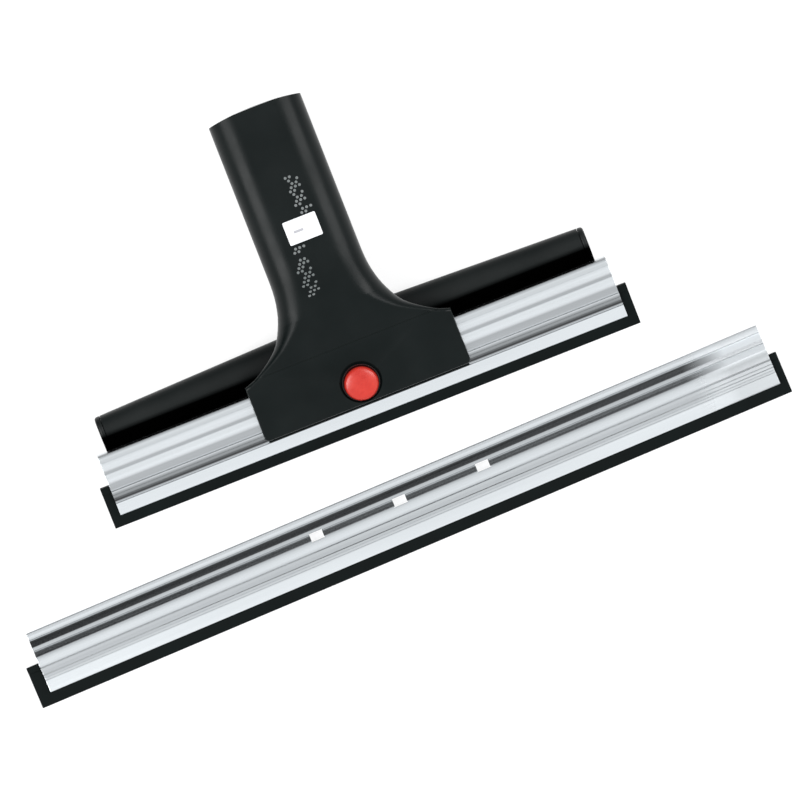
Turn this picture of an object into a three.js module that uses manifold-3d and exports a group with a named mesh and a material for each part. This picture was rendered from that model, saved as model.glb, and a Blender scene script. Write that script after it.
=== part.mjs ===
// Window cleaning squeegee head with a second, wider blade lying beside it.
// Millimetres. X runs along the fitted blade, Y from the blade's edge to the neck's mouth, Z up from the table.
import * as THREE from 'three';
import { mergeVertices } from 'three/addons/utils/BufferGeometryUtils.js';
import Module from 'manifold-3d';

const wasm = await Module();
wasm.setup();

// ---- driving dimensions ----
const TILT = THREE.MathUtils.degToRad(12); // blade and button plate against the neck's axis
const TILT_Y = 0.5; // where the tilted group's zero lies in the head
const TILT_Z = 12;

const BLADE_LENGTH = 250; // rubber of the fitted blade
const RAIL_LENGTH = 241.3;
const WIDE_RUBBER_LEFT = 181.9; // the spare's rubber stands out further on its left
const WIDE_RUBBER_RIGHT = 179.5;
const WIDE_RAIL_LENGTH = 351.8;
const WIDE_PLACE = { x: -2.7, y: -57.9, turn: THREE.MathUtils.degToRad(1.47) };

const RAIL_TOP = 33.5; // heights above the rubber's working edge
const RAIL_LIP = 5.3;
const RAIL_FRONT = 5.4;
const HOLE_ROW = 23.3; // latch holes in every rail
const HOLE_PITCH = 40;
const HOLE_SIZE = [6, 3.8];

const PLATE_HALF = 48.8; // base plate over the rail
const PLATE_EDGE_Y = 11.1;
const PLATE_FRONT = 12.6; // above the rail's back
const PLATE_SKIN = 2.2;
const PLATE_BACK = 5.9;
const GUIDE_FRONT = -0.4;
const GUIDE_BACK = -3;

const NECK_HALF = 21.7;
const NECK_AXIS_Z = 20.5;
const NECK_WALL = 2.8;
const PART_GAP = 0.15; // half the gap at the parting plane
const MOUTH_SIDE_Y = 149.4;
const MOUTH_MID_Y = 151.2;
const SOCKET_R = 17.75; // takes a 35 mm tube
const SOCKET_FLOOR_Y = 111;
const SHELL_START_Y = 53.3;
const COVER_END_Y = 108; // the rear shell covers the duct up to here, and the socket beyond is one tube

const BAR_HALF = 116.2;
const BAR_TUBE_HALF = 113.5;
const BAR_TAPER = 3.7; // lost from the bar's height at its ends

const BUTTON_V = 22.6;
const BUTTON_R = 8.1;
const FULCRUM_X = 19;

// the neck and flare seen from the front: [distance from the blade's edge, half width]
const CONTOUR = [
  [36.0, PLATE_HALF], [36.8, PLATE_HALF], [38.8, 43], [41.8, 38], [44.8, 33.8], [48.4, 29.8],
  [53.3, 26.9], [59.4, 24.2], [65, 22.7], [70.4, 21.9], [76, NECK_HALF], [80, NECK_HALF], [160, NECK_HALF],
];
const SHELL_SCREWS = [[-16.5, 63], [16.5, 63], [-14.5, 92], [14.5, 92]];
const BAR_SCREWS = [[-27, 44.5], [27, 44.5]];

// ---- materials ----
const material = (color, roughness, metalness) =>
  new THREE.MeshStandardMaterial({ color, roughness, metalness });
const BLACK = material(0x1e2422, 0.45, 0);
const DARK = material(0x17191a, 0.6, 0);
const ALUMINIUM = material(0xdfe3e6, 0.28, 1);
const STEEL = material(0xb9bcc0, 0.35, 1);
const RUBBER = material(0x1b2021, 0.75, 0);
const RED = material(0xd8342e, 0.35, 0);
const WHITE = material(0xf2f3f4, 0.5, 0);

// ---- solids ----
function toSolid(geometry) {
  const bare = geometry.clone();
  bare.deleteAttribute('normal');
  bare.deleteAttribute('uv');
  const merged = mergeVertices(bare, 1e-5);
  return new wasm.Manifold(new wasm.Mesh({
    numProp: 3,
    vertProperties: new Float32Array(merged.attributes.position.array),
    triVerts: new Uint32Array(merged.index.array),
  }));
}

function toMesh(name, solid, look) {
  const out = solid.getMesh();
  const geometry = new THREE.BufferGeometry();
  geometry.setAttribute('position', new THREE.BufferAttribute(new Float32Array(out.vertProperties), 3));
  geometry.setIndex(new THREE.BufferAttribute(new Uint32Array(out.triVerts), 1));
  geometry.computeVertexNormals();
  const mesh = new THREE.Mesh(geometry, look);
  mesh.name = name;
  return mesh;
}

const moved = (geometry, x, y, z) => geometry.clone().translate(x, y, z);
const tilted = (geometry) => geometry.clone().rotateX(TILT).translate(0, TILT_Y, TILT_Z);
const inHead = (v, w) => [
  v * Math.cos(TILT) - w * Math.sin(TILT) + TILT_Y,
  v * Math.sin(TILT) + w * Math.cos(TILT) + TILT_Z,
];
const planeZ = (y, w) => TILT_Z + (y - TILT_Y) * Math.tan(TILT) + w / Math.cos(TILT);

function box(x0, x1, y0, y1, z0, z1) {
  return new THREE.BoxGeometry(x1 - x0, y1 - y0, z1 - z0)
    .translate((x0 + x1) / 2, (y0 + y1) / 2, (z0 + z1) / 2);
}

const toShape = (points) => new THREE.Shape(points.map(([a, b]) => new THREE.Vector2(a, b)));

function extrudeX(points, x0, x1) {
  const geometry = new THREE.ExtrudeGeometry(toShape(points), { depth: x1 - x0, bevelEnabled: false });
  const turn = new THREE.Matrix4().set(0, 0, 1, x0, 1, 0, 0, 0, 0, 1, 0, 0, 0, 0, 0, 1);
  return geometry.applyMatrix4(turn);
}

function extrudeZ(points, z0, z1) {
  return new THREE.ExtrudeGeometry(toShape(points), { depth: z1 - z0, bevelEnabled: false })
    .translate(0, 0, z0);
}

function postZ(r, x, y, z0, z1, sides = 16) {
  return new THREE.CylinderGeometry(r, r, z1 - z0, sides).rotateX(Math.PI / 2)
    .translate(x, y, (z0 + z1) / 2);
}

const tubeY = (r, y0, y1, sides = 32) =>
  new THREE.CylinderGeometry(r, r, y1 - y0, sides).translate(0, (y0 + y1) / 2, NECK_AXIS_Z);

// a body turned about Z from [radius, height] pairs
const turned = (profile, sides = 32) =>
  new THREE.LatheGeometry(profile.map(([r, h]) => new THREE.Vector2(r, h)), sides).rotateX(Math.PI / 2);

// a closed skin through rings of equal length, its ends capped
function loft(rings, flat) {
  const count = rings[0].length;
  const positions = rings.flat(2);
  const index = [];
  for (let r = 0; r + 1 < rings.length; r += 1) {
    for (let i = 0; i < count; i += 1) {
      const a = r * count + i;
      const b = r * count + (i + 1) % count;
      index.push(a, b, b + count, a, b + count, a + count);
    }
  }
  const outline = rings[0].map((p) => new THREE.Vector2(...flat(p)));
  const sameWay = (abc) => THREE.ShapeUtils.area(abc.map((i) => outline[i])) *
    THREE.ShapeUtils.area(outline) > 0;
  const last = (rings.length - 1) * count;
  for (const corners of THREE.ShapeUtils.triangulateShape(outline, [])) {
    const [a, b, c] = sameWay(corners) ? corners : corners.reverse();
    index.push(c, b, a, last + a, last + b, last + c);
  }
  const geometry = new THREE.BufferGeometry();
  geometry.setAttribute('position', new THREE.BufferAttribute(new Float32Array(positions), 3));
  geometry.setIndex(facesOut(positions, index) ? index : index.reverse());
  return geometry;
}

function facesOut(positions, index) {
  const corner = (i) => new THREE.Vector3().fromArray(positions, 3 * i);
  let volume = 0;
  for (let i = 0; i < index.length; i += 3) {
    volume += corner(index[i]).dot(corner(index[i + 1]).cross(corner(index[i + 2])));
  }
  return volume > 0;
}

const join = (...geometries) => geometries.map(toSolid).reduce((sum, next) => sum.add(next));

// ---- the blades: one extrusion and one rubber strip in two lengths ----
// a flute falls from its upper edge and rises in a long, slightly hollow ramp to its lower one
const flute = (from, to, depth) => [
  [from, RAIL_FRONT], [from - 0.15, RAIL_FRONT - depth * 0.8], [from - 0.4, RAIL_FRONT - depth],
  [(from + to) / 2, RAIL_FRONT - depth * 0.62], [to, RAIL_FRONT],
];

const RAIL_SECTION = [
  [RAIL_LIP, 0.3], [RAIL_LIP + 0.3, 0], [20.9, 0], [20.9, 2.6], [31.6, 2.6], [31.6, 0], [RAIL_TOP, 0],
  [RAIL_TOP, RAIL_FRONT - 0.5], [RAIL_TOP - 0.5, RAIL_FRONT],
  ...flute(30.2, 26.4, 1.1),
  ...flute(25, 21.8, 1),
  [17.3, RAIL_FRONT], [16.9, 5.1], [16.5, RAIL_FRONT], [15, RAIL_FRONT], [14.7, 5.15], [13.5, 5.15],
  [13.2, RAIL_FRONT], [12.1, RAIL_FRONT], [12.1, 4.2], [10.9, 4.2], [10.9, 5.2],
  [RAIL_LIP + 0.3, 5.2], [RAIL_LIP, 4.9], [RAIL_LIP, 3.45], [15.9, 3.45], [15.9, 4.2],
  [19.6, 4.2], [19.6, 0.8], [15.9, 0.8], [15.9, 1.2], [RAIL_LIP, 1.2],
];
const RUBBER_SECTION = [
  [0, 1.35], [16.15, 1.35], [16.15, 1.0], [19.3, 1.0], [19.3, 4.0], [16.15, 4.0], [16.15, 3.3], [0, 3.3],
];

function rail(length) {
  let solid = toSolid(extrudeX(RAIL_SECTION, -length / 2, length / 2));
  for (const step of [-1, 0, 1]) {
    const x = step * HOLE_PITCH;
    const hole = box(x - HOLE_SIZE[0] / 2, x + HOLE_SIZE[0] / 2,
      HOLE_ROW - HOLE_SIZE[1] / 2, HOLE_ROW + HOLE_SIZE[1] / 2, -1, 8);
    solid = solid.subtract(toSolid(hole));
  }
  return solid;
}

const rubber = (left, right) => toSolid(extrudeX(RUBBER_SECTION, -left, right));

// ---- the neck and flare ----
function halfWidth(y) {
  const next = CONTOUR.findIndex(([at]) => at > y);
  const [y0, a0] = CONTOUR[next - 1];
  const [y1, a1] = CONTOUR[next];
  return a0 + (a1 - a0) * (y - y0) / (y1 - y0);
}

const FLARE_END_Y = 76;
const LEVEL_BLEND = 8;
const NECK_TOP_Z = planeZ(FLARE_END_Y, PLATE_FRONT);

function frontZ(y) {
  const t = y - (FLARE_END_Y - LEVEL_BLEND);
  if (t <= 0) return planeZ(y, PLATE_FRONT);
  if (t >= 2 * LEVEL_BLEND) return NECK_TOP_Z;
  return planeZ(FLARE_END_Y - LEVEL_BLEND, PLATE_FRONT) + Math.tan(TILT) * (t - t * t / (4 * LEVEL_BLEND));
}

function neckRing(y, inset) {
  const half = halfWidth(y) - inset;
  const top = frontZ(y) - inset;
  const grown = THREE.MathUtils.smoothstep(y, 38.8, FLARE_END_Y);
  const front = Math.max(1.2 + 10.5 * grown - inset, 0.6);
  const rear = Math.max(9 - inset, 0.6);
  const corners = [
    [half - front, top - front, front, 0], [-half + front, top - front, front, 90],
    [-half + rear, inset + rear, rear, 180], [half - rear, inset + rear, rear, 270],
  ];
  const ring = [];
  for (const [cx, cz, r, start] of corners) {
    for (let i = 0; i <= 4; i += 1) {
      const angle = THREE.MathUtils.degToRad(start + i * 90 / 4);
      ring.push([cx + r * Math.cos(angle), y, cz + r * Math.sin(angle)]);
    }
  }
  return ring;
}

function neckBody(from, to, inset) {
  const stops = [from, to];
  for (const [y] of CONTOUR) stops.push(y);
  stops.push(72, 84);
  const inside = [...new Set(stops)].filter((y) => y >= from && y <= to).sort((a, b) => a - b);
  return loft(inside.map((y) => neckRing(y, inset)), ([x, , z]) => [x, z]);
}

function mouthCut() {
  const points = [[-60, -100], [60, -100], [60, MOUTH_SIDE_Y - 8]];
  const radius = (NECK_HALF ** 2 + (MOUTH_MID_Y - MOUTH_SIDE_Y) ** 2) / (2 * (MOUTH_MID_Y - MOUTH_SIDE_Y));
  for (let i = 0; i <= 16; i += 1) {
    const x = 24 - 3 * i;
    points.push([x, MOUTH_MID_Y - radius + Math.sqrt(radius ** 2 - x ** 2)]);
  }
  points.push([-60, MOUTH_SIDE_Y - 8]);
  return toSolid(extrudeZ(points, -5, 60));
}

// everything hollow in the neck: duct, tube stop, socket and its seal's groove
const HOLLOW = join(
  neckBody(56, 109, NECK_WALL),
  tubeY(15.5, 108.5, SOCKET_FLOOR_Y + 1),
  tubeY(SOCKET_R, SOCKET_FLOOR_Y, 160, 48),
  tubeY(19, 118, 121.6, 48),
);

const SCREW_R = 1.45;
function screw(x, y, headZ, headR, headH, tipZ, shankR = SCREW_R) {
  const profile = [
    [0, headZ], [headR - 0.4, headZ], [headR, headZ + 0.4], [headR, headZ + headH],
    [shankR, headZ + headH], [shankR, tipZ - 1], [0.2, tipZ], [0, tipZ],
  ];
  return toSolid(moved(turned(profile, 16), x, y, 0));
}

// a small screw of the tilted group, its head towards the rail's back
function tiltedScrew(x, v, headW, headR, headH, tipW, shankR) {
  const profile = [
    [0, headW], [headR, headW], [headR, headW + headH], [shankR, headW + headH],
    [shankR, tipW - 0.6], [0.2, tipW], [0, tipW],
  ];
  return toSolid(tilted(moved(turned(profile, 12), x, v, 0)));
}

function frontShell() {
  const above = join(
    box(-70, 70, 30, 170, NECK_AXIS_Z + PART_GAP, 60),
    box(-70, 70, COVER_END_Y + PART_GAP, 170, -5, NECK_AXIS_Z + 5),
  );
  let shell = toSolid(neckBody(36, 156, 0)).intersect(above);

  // the base plate, hooked into the rail's crease and walled above the rail
  const plateSide = [
    inHead(11.2, 4.65), inHead(11.85, 4.65), inHead(12.2, PLATE_BACK), inHead(34, PLATE_BACK),
    inHead(34, GUIDE_FRONT + 0.3), inHead(38.5, GUIDE_FRONT + 0.3), [38.6, NECK_AXIS_Z + PART_GAP],
    [38.6, 25], [36.4, planeZ(36.4, PLATE_FRONT)],
    [PLATE_EDGE_Y + 0.5, planeZ(PLATE_EDGE_Y + 0.5, PLATE_FRONT)],
    [PLATE_EDGE_Y, planeZ(PLATE_EDGE_Y, PLATE_FRONT - 0.6)],
  ];
  const outline = [
    [-PLATE_HALF + 1.5, PLATE_EDGE_Y - 4], [PLATE_HALF - 1.5, PLATE_EDGE_Y - 4],
    [PLATE_HALF - 1.5, PLATE_EDGE_Y], [PLATE_HALF - 0.4, PLATE_EDGE_Y + 0.5],
    [PLATE_HALF, PLATE_EDGE_Y + 1.6], [PLATE_HALF, 36.8], [43, 38.8],
    [-43, 38.8], [-PLATE_HALF, 36.8], [-PLATE_HALF, PLATE_EDGE_Y + 1.6],
    [-PLATE_HALF + 0.4, PLATE_EDGE_Y + 0.5], [-PLATE_HALF + 1.5, PLATE_EDGE_Y],
  ];
  const plate = toSolid(extrudeX(plateSide, -60, 60)).intersect(toSolid(extrudeZ(outline, 0, 60)));
  shell = shell.add(plate).subtract(HOLLOW).intersect(mouthCut());

  // the latch tray behind the plate and the pocket in the flare
  const tray = tilted(box(-PLATE_HALF + 2.4, PLATE_HALF - 2.4, 14.2, 33.4, 2, PLATE_FRONT - PLATE_SKIN));
  const pocket = toSolid(neckBody(40.4, 53, 3.2)).intersect(toSolid(box(-60, 60, 30, 60, 10, 60)));
  shell = shell.subtract(toSolid(tray)).subtract(pocket);
  for (const [x, y] of BAR_SCREWS) {
    shell = shell.add(toSolid(postZ(3.6, x, y, 18.3, frontZ(y) - 2)));
    shell = shell.subtract(toSolid(postZ(SCREW_R + 0.1, x, y, 10, 29)));
  }
  for (const [x, y] of SHELL_SCREWS) {
    shell = shell.add(toSolid(postZ(3.4, x, y, NECK_AXIS_Z + PART_GAP, frontZ(y) - 2)));
    shell = shell.subtract(toSolid(postZ(SCREW_R + 0.1, x, y, 10, 31)));
  }
  for (const side of [-1, 1]) {
    const boss = postZ(2.6, side * FULCRUM_X, 29.8, 7.1, PLATE_FRONT - PLATE_SKIN + 0.5);
    shell = shell.add(toSolid(tilted(boss)));
    shell = shell.subtract(toSolid(tilted(postZ(1.05, side * FULCRUM_X, 29.8, 4, 10.4, 12))));
    shell = shell.subtract(toSolid(tilted(postZ(1.3, side * 40, 36.2, -5, 8.4, 12))));
  }

  // the button's hole and dished rim, the badge's recess, the line between plate and flare
  const rim = turned([[0, 11.6], [8.5, 11.6], [9.6, PLATE_FRONT], [9.6, 16], [0, 16]]);
  shell = shell.subtract(toSolid(tilted(moved(rim, 0, BUTTON_V, 0))));
  shell = shell.subtract(toSolid(tilted(postZ(8.5, 0, BUTTON_V, 5, 14, 32))));
  shell = shell.subtract(toSolid(box(-7.5, 9.1, 86.7, 99.3, NECK_TOP_Z - 0.4, 60)));
  const seamZ = planeZ(38.3, PLATE_FRONT);
  return shell.subtract(toSolid(box(-60, 60, 38.1, 38.5, seamZ - 0.35, 60)));
}

function rearShell() {
  const below = box(-60, 60, SHELL_START_Y, COVER_END_Y - PART_GAP, -5, NECK_AXIS_Z - PART_GAP);
  let shell = toSolid(neckBody(36, 156, 0)).intersect(toSolid(below)).subtract(HOLLOW);
  shell = shell.add(toSolid(box(-19.6, 19.6, 50.2, SHELL_START_Y + 1, 3.4, 15.6)));
  shell = shell.subtract(toSolid(box(-17.8, 17.8, 49, 57, 5, 14)));
  for (const [x, y] of SHELL_SCREWS) {
    shell = shell.add(toSolid(postZ(3.4, x, y, 1.6, NECK_AXIS_Z - PART_GAP)));
    shell = shell.subtract(toSolid(postZ(SCREW_R + 0.2, x, y, -1, 25)));
    shell = shell.subtract(toSolid(postZ(3.1, x, y, -1, 2.6)));
  }
  return shell;
}

// ---- the suction bar behind the blade ----
const BAR_OUTER = [
  [25, 0], [46, 0], [50.5, 1.6], [52.3, 4], [52.8, 6.5], [52.8, 12], [52.2, 14.6], [50.8, 16.9], [48.5, 18],
  [41, 18], [38.5, 17], [34, 13.6], [22.5, 10.8], [20, 8.6], [19.5, 6], [20.5, 2.6],
];
const BAR_INNER = [
  [25.4, 2], [45.8, 2], [49.2, 3.3], [50.4, 5], [50.8, 7], [50.8, 11.5], [50.3, 13.4], [49.4, 15], [47.9, 16],
  [41.6, 16], [39.6, 15.2], [34.8, 11.7], [23.3, 8.9], [21.9, 7.6], [21.6, 6], [22.2, 3.6],
];

// a counter-clockwise loop drawn in by an even margin
function drawnIn(points, by) {
  const at = (i) => new THREE.Vector2(...points[(i + points.length) % points.length]);
  return points.map((point, i) => {
    const before = at(i).sub(at(i - 1)).normalize();
    const after = at(i + 1).sub(at(i)).normalize();
    const k = by / (1 + before.dot(after));
    return [point[0] - k * (before.y + after.y), point[1] + k * (before.x + after.x)];
  });
}

function barRing(section, x, shrink) {
  const loss = BAR_TAPER * Math.abs(x) / BAR_HALF;
  return drawnIn(section, shrink)
    .map(([y, z]) => [x, y - loss * THREE.MathUtils.clamp((y - 38) / 14.8, 0, 1), z]);
}

const barBody = (section, stops) =>
  loft(stops.map(([x, shrink]) => barRing(section, x, shrink)), ([, y, z]) => [y, z]);

function suctionBar() {
  let bar = toSolid(barBody(BAR_OUTER, [[-BAR_TUBE_HALF, 0], [0, 0], [BAR_TUBE_HALF, 0]]));
  bar = bar.subtract(toSolid(barBody(BAR_INNER, [[-BAR_TUBE_HALF - 1, 0], [0, 0], [BAR_TUBE_HALF + 1, 0]])));
  for (const [x, y] of BAR_SCREWS) {
    bar = bar.add(toSolid(postZ(3.6, x, y, 0.5, 17)));
    bar = bar.subtract(toSolid(postZ(SCREW_R + 0.2, x, y, -1, 20)));
    bar = bar.subtract(toSolid(postZ(3.1, x, y, -1, 2.4)));
  }
  bar = bar.subtract(toSolid(box(-20, 20, 48, 55, 3, 16)));
  for (let i = 0; i < 6; i += 1) {
    const x = -104 + i * 35;
    bar = bar.subtract(toSolid(box(x, x + 33, 15, 24, 4.2, 7.4)));
  }
  return bar;
}

function barEndCap(side) {
  const stops = [[BAR_TUBE_HALF + 0.3, 0], [BAR_HALF - 0.9, 0], [BAR_HALF, 0.8]];
  const plug = [[BAR_TUBE_HALF - 4.5, 0.35], [BAR_TUBE_HALF + 0.8, 0.35]];
  const signed = (list) => (side < 0 ? list.map(([x, s]) => [-x, s]).reverse() : list);
  return join(barBody(BAR_OUTER, signed(stops)), barBody(BAR_INNER, signed(plug)));
}

// ---- the jaw behind the rail ----
function railGuide() {
  let guide = toSolid(box(-46, 46, 12.5, 38.2, GUIDE_BACK, GUIDE_FRONT));
  guide = guide.add(toSolid(box(-46, 46, 12.5, 14.5, GUIDE_BACK - 0.6, GUIDE_BACK + 0.5)));
  for (const side of [-1, 1]) {
    guide = guide.subtract(toSolid(postZ(1.3, side * 40, 36.2, -6, 2, 12)));
    guide = guide.subtract(toSolid(postZ(2.3, side * 40, 36.2, -6, GUIDE_BACK + 1.3, 12)));
    guide = guide.subtract(toSolid(box(side * 26 - 9, side * 26 + 9, 18, 31, -6, 2)));
  }
  return guide.rotate([THREE.MathUtils.radToDeg(TILT), 0, 0]).translate([0, TILT_Y, TILT_Z]);
}

// ---- button and latch ----
function releaseButton() {
  const dome = [];
  for (let i = 0; i <= 5; i += 1) {
    const t = i / 5;
    dome.push([(BUTTON_R - 0.5) * (1 - t), 13.2 + 1.5 * Math.sqrt(1 - (1 - t) ** 2)]);
  }
  dome[dome.length - 1][0] = 0;
  const profile = [
    [0, 8.1], [3.4, 8.1], [3.4, 8.9], [9.3, 8.9], [9.3, 10.1], [BUTTON_R, 10.1], [BUTTON_R, 12.7],
    [BUTTON_R - 0.15, 13.0], ...dome,
  ];
  const flat = box(-20, 20, BUTTON_V - BUTTON_R, 40, 0, 20);
  return toSolid(tilted(moved(turned(profile, 32), 0, BUTTON_V, 0))).intersect(toSolid(tilted(flat)));
}

function latchSpring() {
  let leaf = toSolid(box(-43, 43, HOLE_ROW - 3.1, HOLE_ROW + 3.1, 7.3, 7.8));
  for (const side of [-1, 1]) {
    const x = side * HOLE_PITCH;
    leaf = leaf.add(toSolid(box(x - 2.3, x + 2.3, HOLE_ROW - 1.5, HOLE_ROW + 1.5, 4, 7.5)));
  }
  return leaf.rotate([THREE.MathUtils.radToDeg(TILT), 0, 0]).translate([0, TILT_Y, TILT_Z]);
}

function latchClip(side) {
  const x = side * FULCRUM_X;
  const strap = box(x - 3, x + 3, 15.2, 32.4, 5.8, 6.85);
  const fulcrum = box(x - 0.6, x + 0.6, 18.5, 27, 6.5, 7.15);
  const hook = box(x - 3, x + 3, 15.2, 16.2, 6.4, 10);
  const holes = [postZ(1.15, x, 29.8, 4, 8, 12), postZ(1.95, x, 29.8, 4, 6.45, 12)];
  const clip = join(strap, fulcrum, hook).subtract(join(...holes));
  return clip.rotate([THREE.MathUtils.radToDeg(TILT), 0, 0]).translate([0, TILT_Y, TILT_Z]);
}

// ---- the kit ----
const kit = new THREE.Group();
kit.name = 'window_squeegee';
const add = (name, solid, look) => kit.add(toMesh(name, solid, look));

add('front_shell', frontShell(), BLACK);
add('rear_shell', rearShell(), BLACK);
add('suction_bar', suctionBar(), BLACK);
add('bar_end_cap_left', barEndCap(-1), BLACK);
add('bar_end_cap_right', barEndCap(1), BLACK);
add('rail_guide', railGuide(), DARK);

const seal = turned([[SOCKET_R + 0.05, -1.5], [18.8, -1.5], [18.8, 1.5], [SOCKET_R + 0.05, 1.5],
  [SOCKET_R + 0.05, -1.5]], 48).rotateX(Math.PI / 2);
add('socket_seal', toSolid(moved(seal, 0, 119.8, NECK_AXIS_Z)), RUBBER);
add('badge_plate', toSolid(box(-7.2, 8.8, 87, 99, NECK_TOP_Z - 0.35, NECK_TOP_Z + 0.15)), WHITE);

SHELL_SCREWS.forEach(([x, y], i) => {
  add(`shell_screw_${i + 1}`, screw(x, y, 0.4, 2.8, 2.1, 29), STEEL);
});
BAR_SCREWS.forEach(([x, y], i) => {
  add(`bar_screw_${['left', 'right'][i]}`, screw(x, y, 0.3, 2.8, 2, 27), STEEL);
});
for (const [side, word] of [[-1, 'left'], [1, 'right']]) {
  add(`guide_screw_${word}`, tiltedScrew(side * 40, 36.2, GUIDE_BACK + 0.05, 2.1, 1.2, 8, 1.2), STEEL);
  add(`latch_clip_${word}`, latchClip(side), STEEL);
  add(`latch_screw_${word}`, tiltedScrew(side * FULCRUM_X, 29.8, 5.85, 1.8, 0.55, 10, 0.95), STEEL);
}
add('latch_spring', latchSpring(), STEEL);
add('release_button', releaseButton(), RED);

const placeFitted = (solid) => solid.rotate([THREE.MathUtils.radToDeg(TILT), 0, 0])
  .translate([0, TILT_Y, TILT_Z]);
add('small_blade_rail', placeFitted(rail(RAIL_LENGTH)), ALUMINIUM);
add('small_blade_rubber', placeFitted(rubber(BLADE_LENGTH / 2, BLADE_LENGTH / 2)), RUBBER);

const placeSpare = (solid) => solid.rotate([0, 0, THREE.MathUtils.radToDeg(WIDE_PLACE.turn)])
  .translate([WIDE_PLACE.x, WIDE_PLACE.y, 0]);
add('wide_blade_rail', placeSpare(rail(WIDE_RAIL_LENGTH)), ALUMINIUM);
add('wide_blade_rubber', placeSpare(rubber(WIDE_RUBBER_LEFT, WIDE_RUBBER_RIGHT)), RUBBER);

// the kit's frame: centred over the table, resting on it
const bounds = new THREE.Box3().setFromObject(kit);
const centre = bounds.getCenter(new THREE.Vector3());
for (const mesh of kit.children) {
  mesh.geometry.translate(-centre.x, -centre.y, -bounds.min.z);
}

export default kit;
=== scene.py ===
"""Window squeegee head with its fitted blade, and the wider spare blade lying beside it."""

import math

import bmesh
import bpy
from mathutils import Matrix, Vector
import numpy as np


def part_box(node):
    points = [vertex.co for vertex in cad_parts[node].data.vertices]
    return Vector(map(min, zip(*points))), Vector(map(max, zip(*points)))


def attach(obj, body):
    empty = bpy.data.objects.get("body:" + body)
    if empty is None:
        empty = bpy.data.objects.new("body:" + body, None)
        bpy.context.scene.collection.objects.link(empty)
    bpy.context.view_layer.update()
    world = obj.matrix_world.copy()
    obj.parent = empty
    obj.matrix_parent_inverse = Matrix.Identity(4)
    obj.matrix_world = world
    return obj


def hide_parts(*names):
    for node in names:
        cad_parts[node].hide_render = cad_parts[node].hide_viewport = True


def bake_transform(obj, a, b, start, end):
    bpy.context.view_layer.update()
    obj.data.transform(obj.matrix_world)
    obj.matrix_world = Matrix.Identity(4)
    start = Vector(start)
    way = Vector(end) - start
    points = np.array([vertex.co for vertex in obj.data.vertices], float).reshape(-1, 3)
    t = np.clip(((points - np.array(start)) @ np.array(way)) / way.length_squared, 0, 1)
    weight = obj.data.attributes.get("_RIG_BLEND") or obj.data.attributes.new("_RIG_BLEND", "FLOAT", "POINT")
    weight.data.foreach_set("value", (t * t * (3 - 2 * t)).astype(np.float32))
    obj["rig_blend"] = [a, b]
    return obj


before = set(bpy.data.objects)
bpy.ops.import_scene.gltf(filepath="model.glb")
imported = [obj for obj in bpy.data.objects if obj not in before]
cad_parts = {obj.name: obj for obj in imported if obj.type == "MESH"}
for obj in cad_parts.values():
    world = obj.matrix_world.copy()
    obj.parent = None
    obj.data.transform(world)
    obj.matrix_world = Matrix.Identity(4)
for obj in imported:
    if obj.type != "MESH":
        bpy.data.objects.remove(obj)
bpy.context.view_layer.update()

# Sizes below are millimetres in the head's own axes: x along the fitted blade from its middle,
# y from the rubber's edge up to the neck's mouth, z up from the table.
MOUTH_Y = 151.2
MOUTH_SIDE_Y = 149.4
shell_low, shell_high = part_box("front_shell")
shell_middle = (shell_low[0] + shell_high[0]) / 2
HEAD = Matrix.Translation((shell_middle, shell_high[1] - MOUTH_Y / 1000, 0)) @ Matrix.Scale(0.001, 4)
TILT = math.radians(12)
TILT_Y, TILT_Z = 0.5, 12
BLADE_IN_HEAD = Matrix.Translation((0, TILT_Y, TILT_Z)) @ Matrix.Rotation(TILT, 4, "X")
BLADE_PLACE = HEAD @ BLADE_IN_HEAD
SPARE_TURN = math.radians(1.47)
SPARE_PLACE = HEAD @ Matrix.Translation((-2.7, -57.9, 0)) @ Matrix.Rotation(SPARE_TURN, 4, "Z")

PLATE_HALF = 48.8
PLATE_FRONT = 12.6
NECK_HALF = 21.7
NECK_AXIS_Z = 20.5
SOCKET_R = 17.75
SOCKET_FLOOR_Y = 111
TUBE_START_Y = 108.15
FLARE_END_Y = 76
LEVEL_BLEND = 8
CONTOUR = (
    (36.0, 48.8), (36.8, 48.8), (38.8, 43), (41.8, 38), (44.8, 33.8), (48.4, 29.8), (53.3, 26.9),
    (59.4, 24.2), (65, 22.7), (70.4, 21.9), (76, NECK_HALF), (80, NECK_HALF), (170, NECK_HALF),
)
# From here to RAIL_FACE in a blade's own axes: x along the rail, y up its face, z out of it.
BUTTON_V = 22.6
BUTTON_HOLE_R = 8.5
LATCH_PITCH = 40
LATCH_ROW = 23.3
LATCH_HOLE_LOW, LATCH_HOLE_HIGH = 21.4, 25.2
LATCH_STILL_X, LATCH_PRESSED_X = 19, 5
LATCH_SHARE = 0.78
RAIL_FACE = 5.4
SHELL_SCREWS = ((-16.5, 63), (16.5, 63), (-14.5, 92), (14.5, 92))
BAR_SCREWS = ((-27, 44.5), (27, 44.5))


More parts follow.
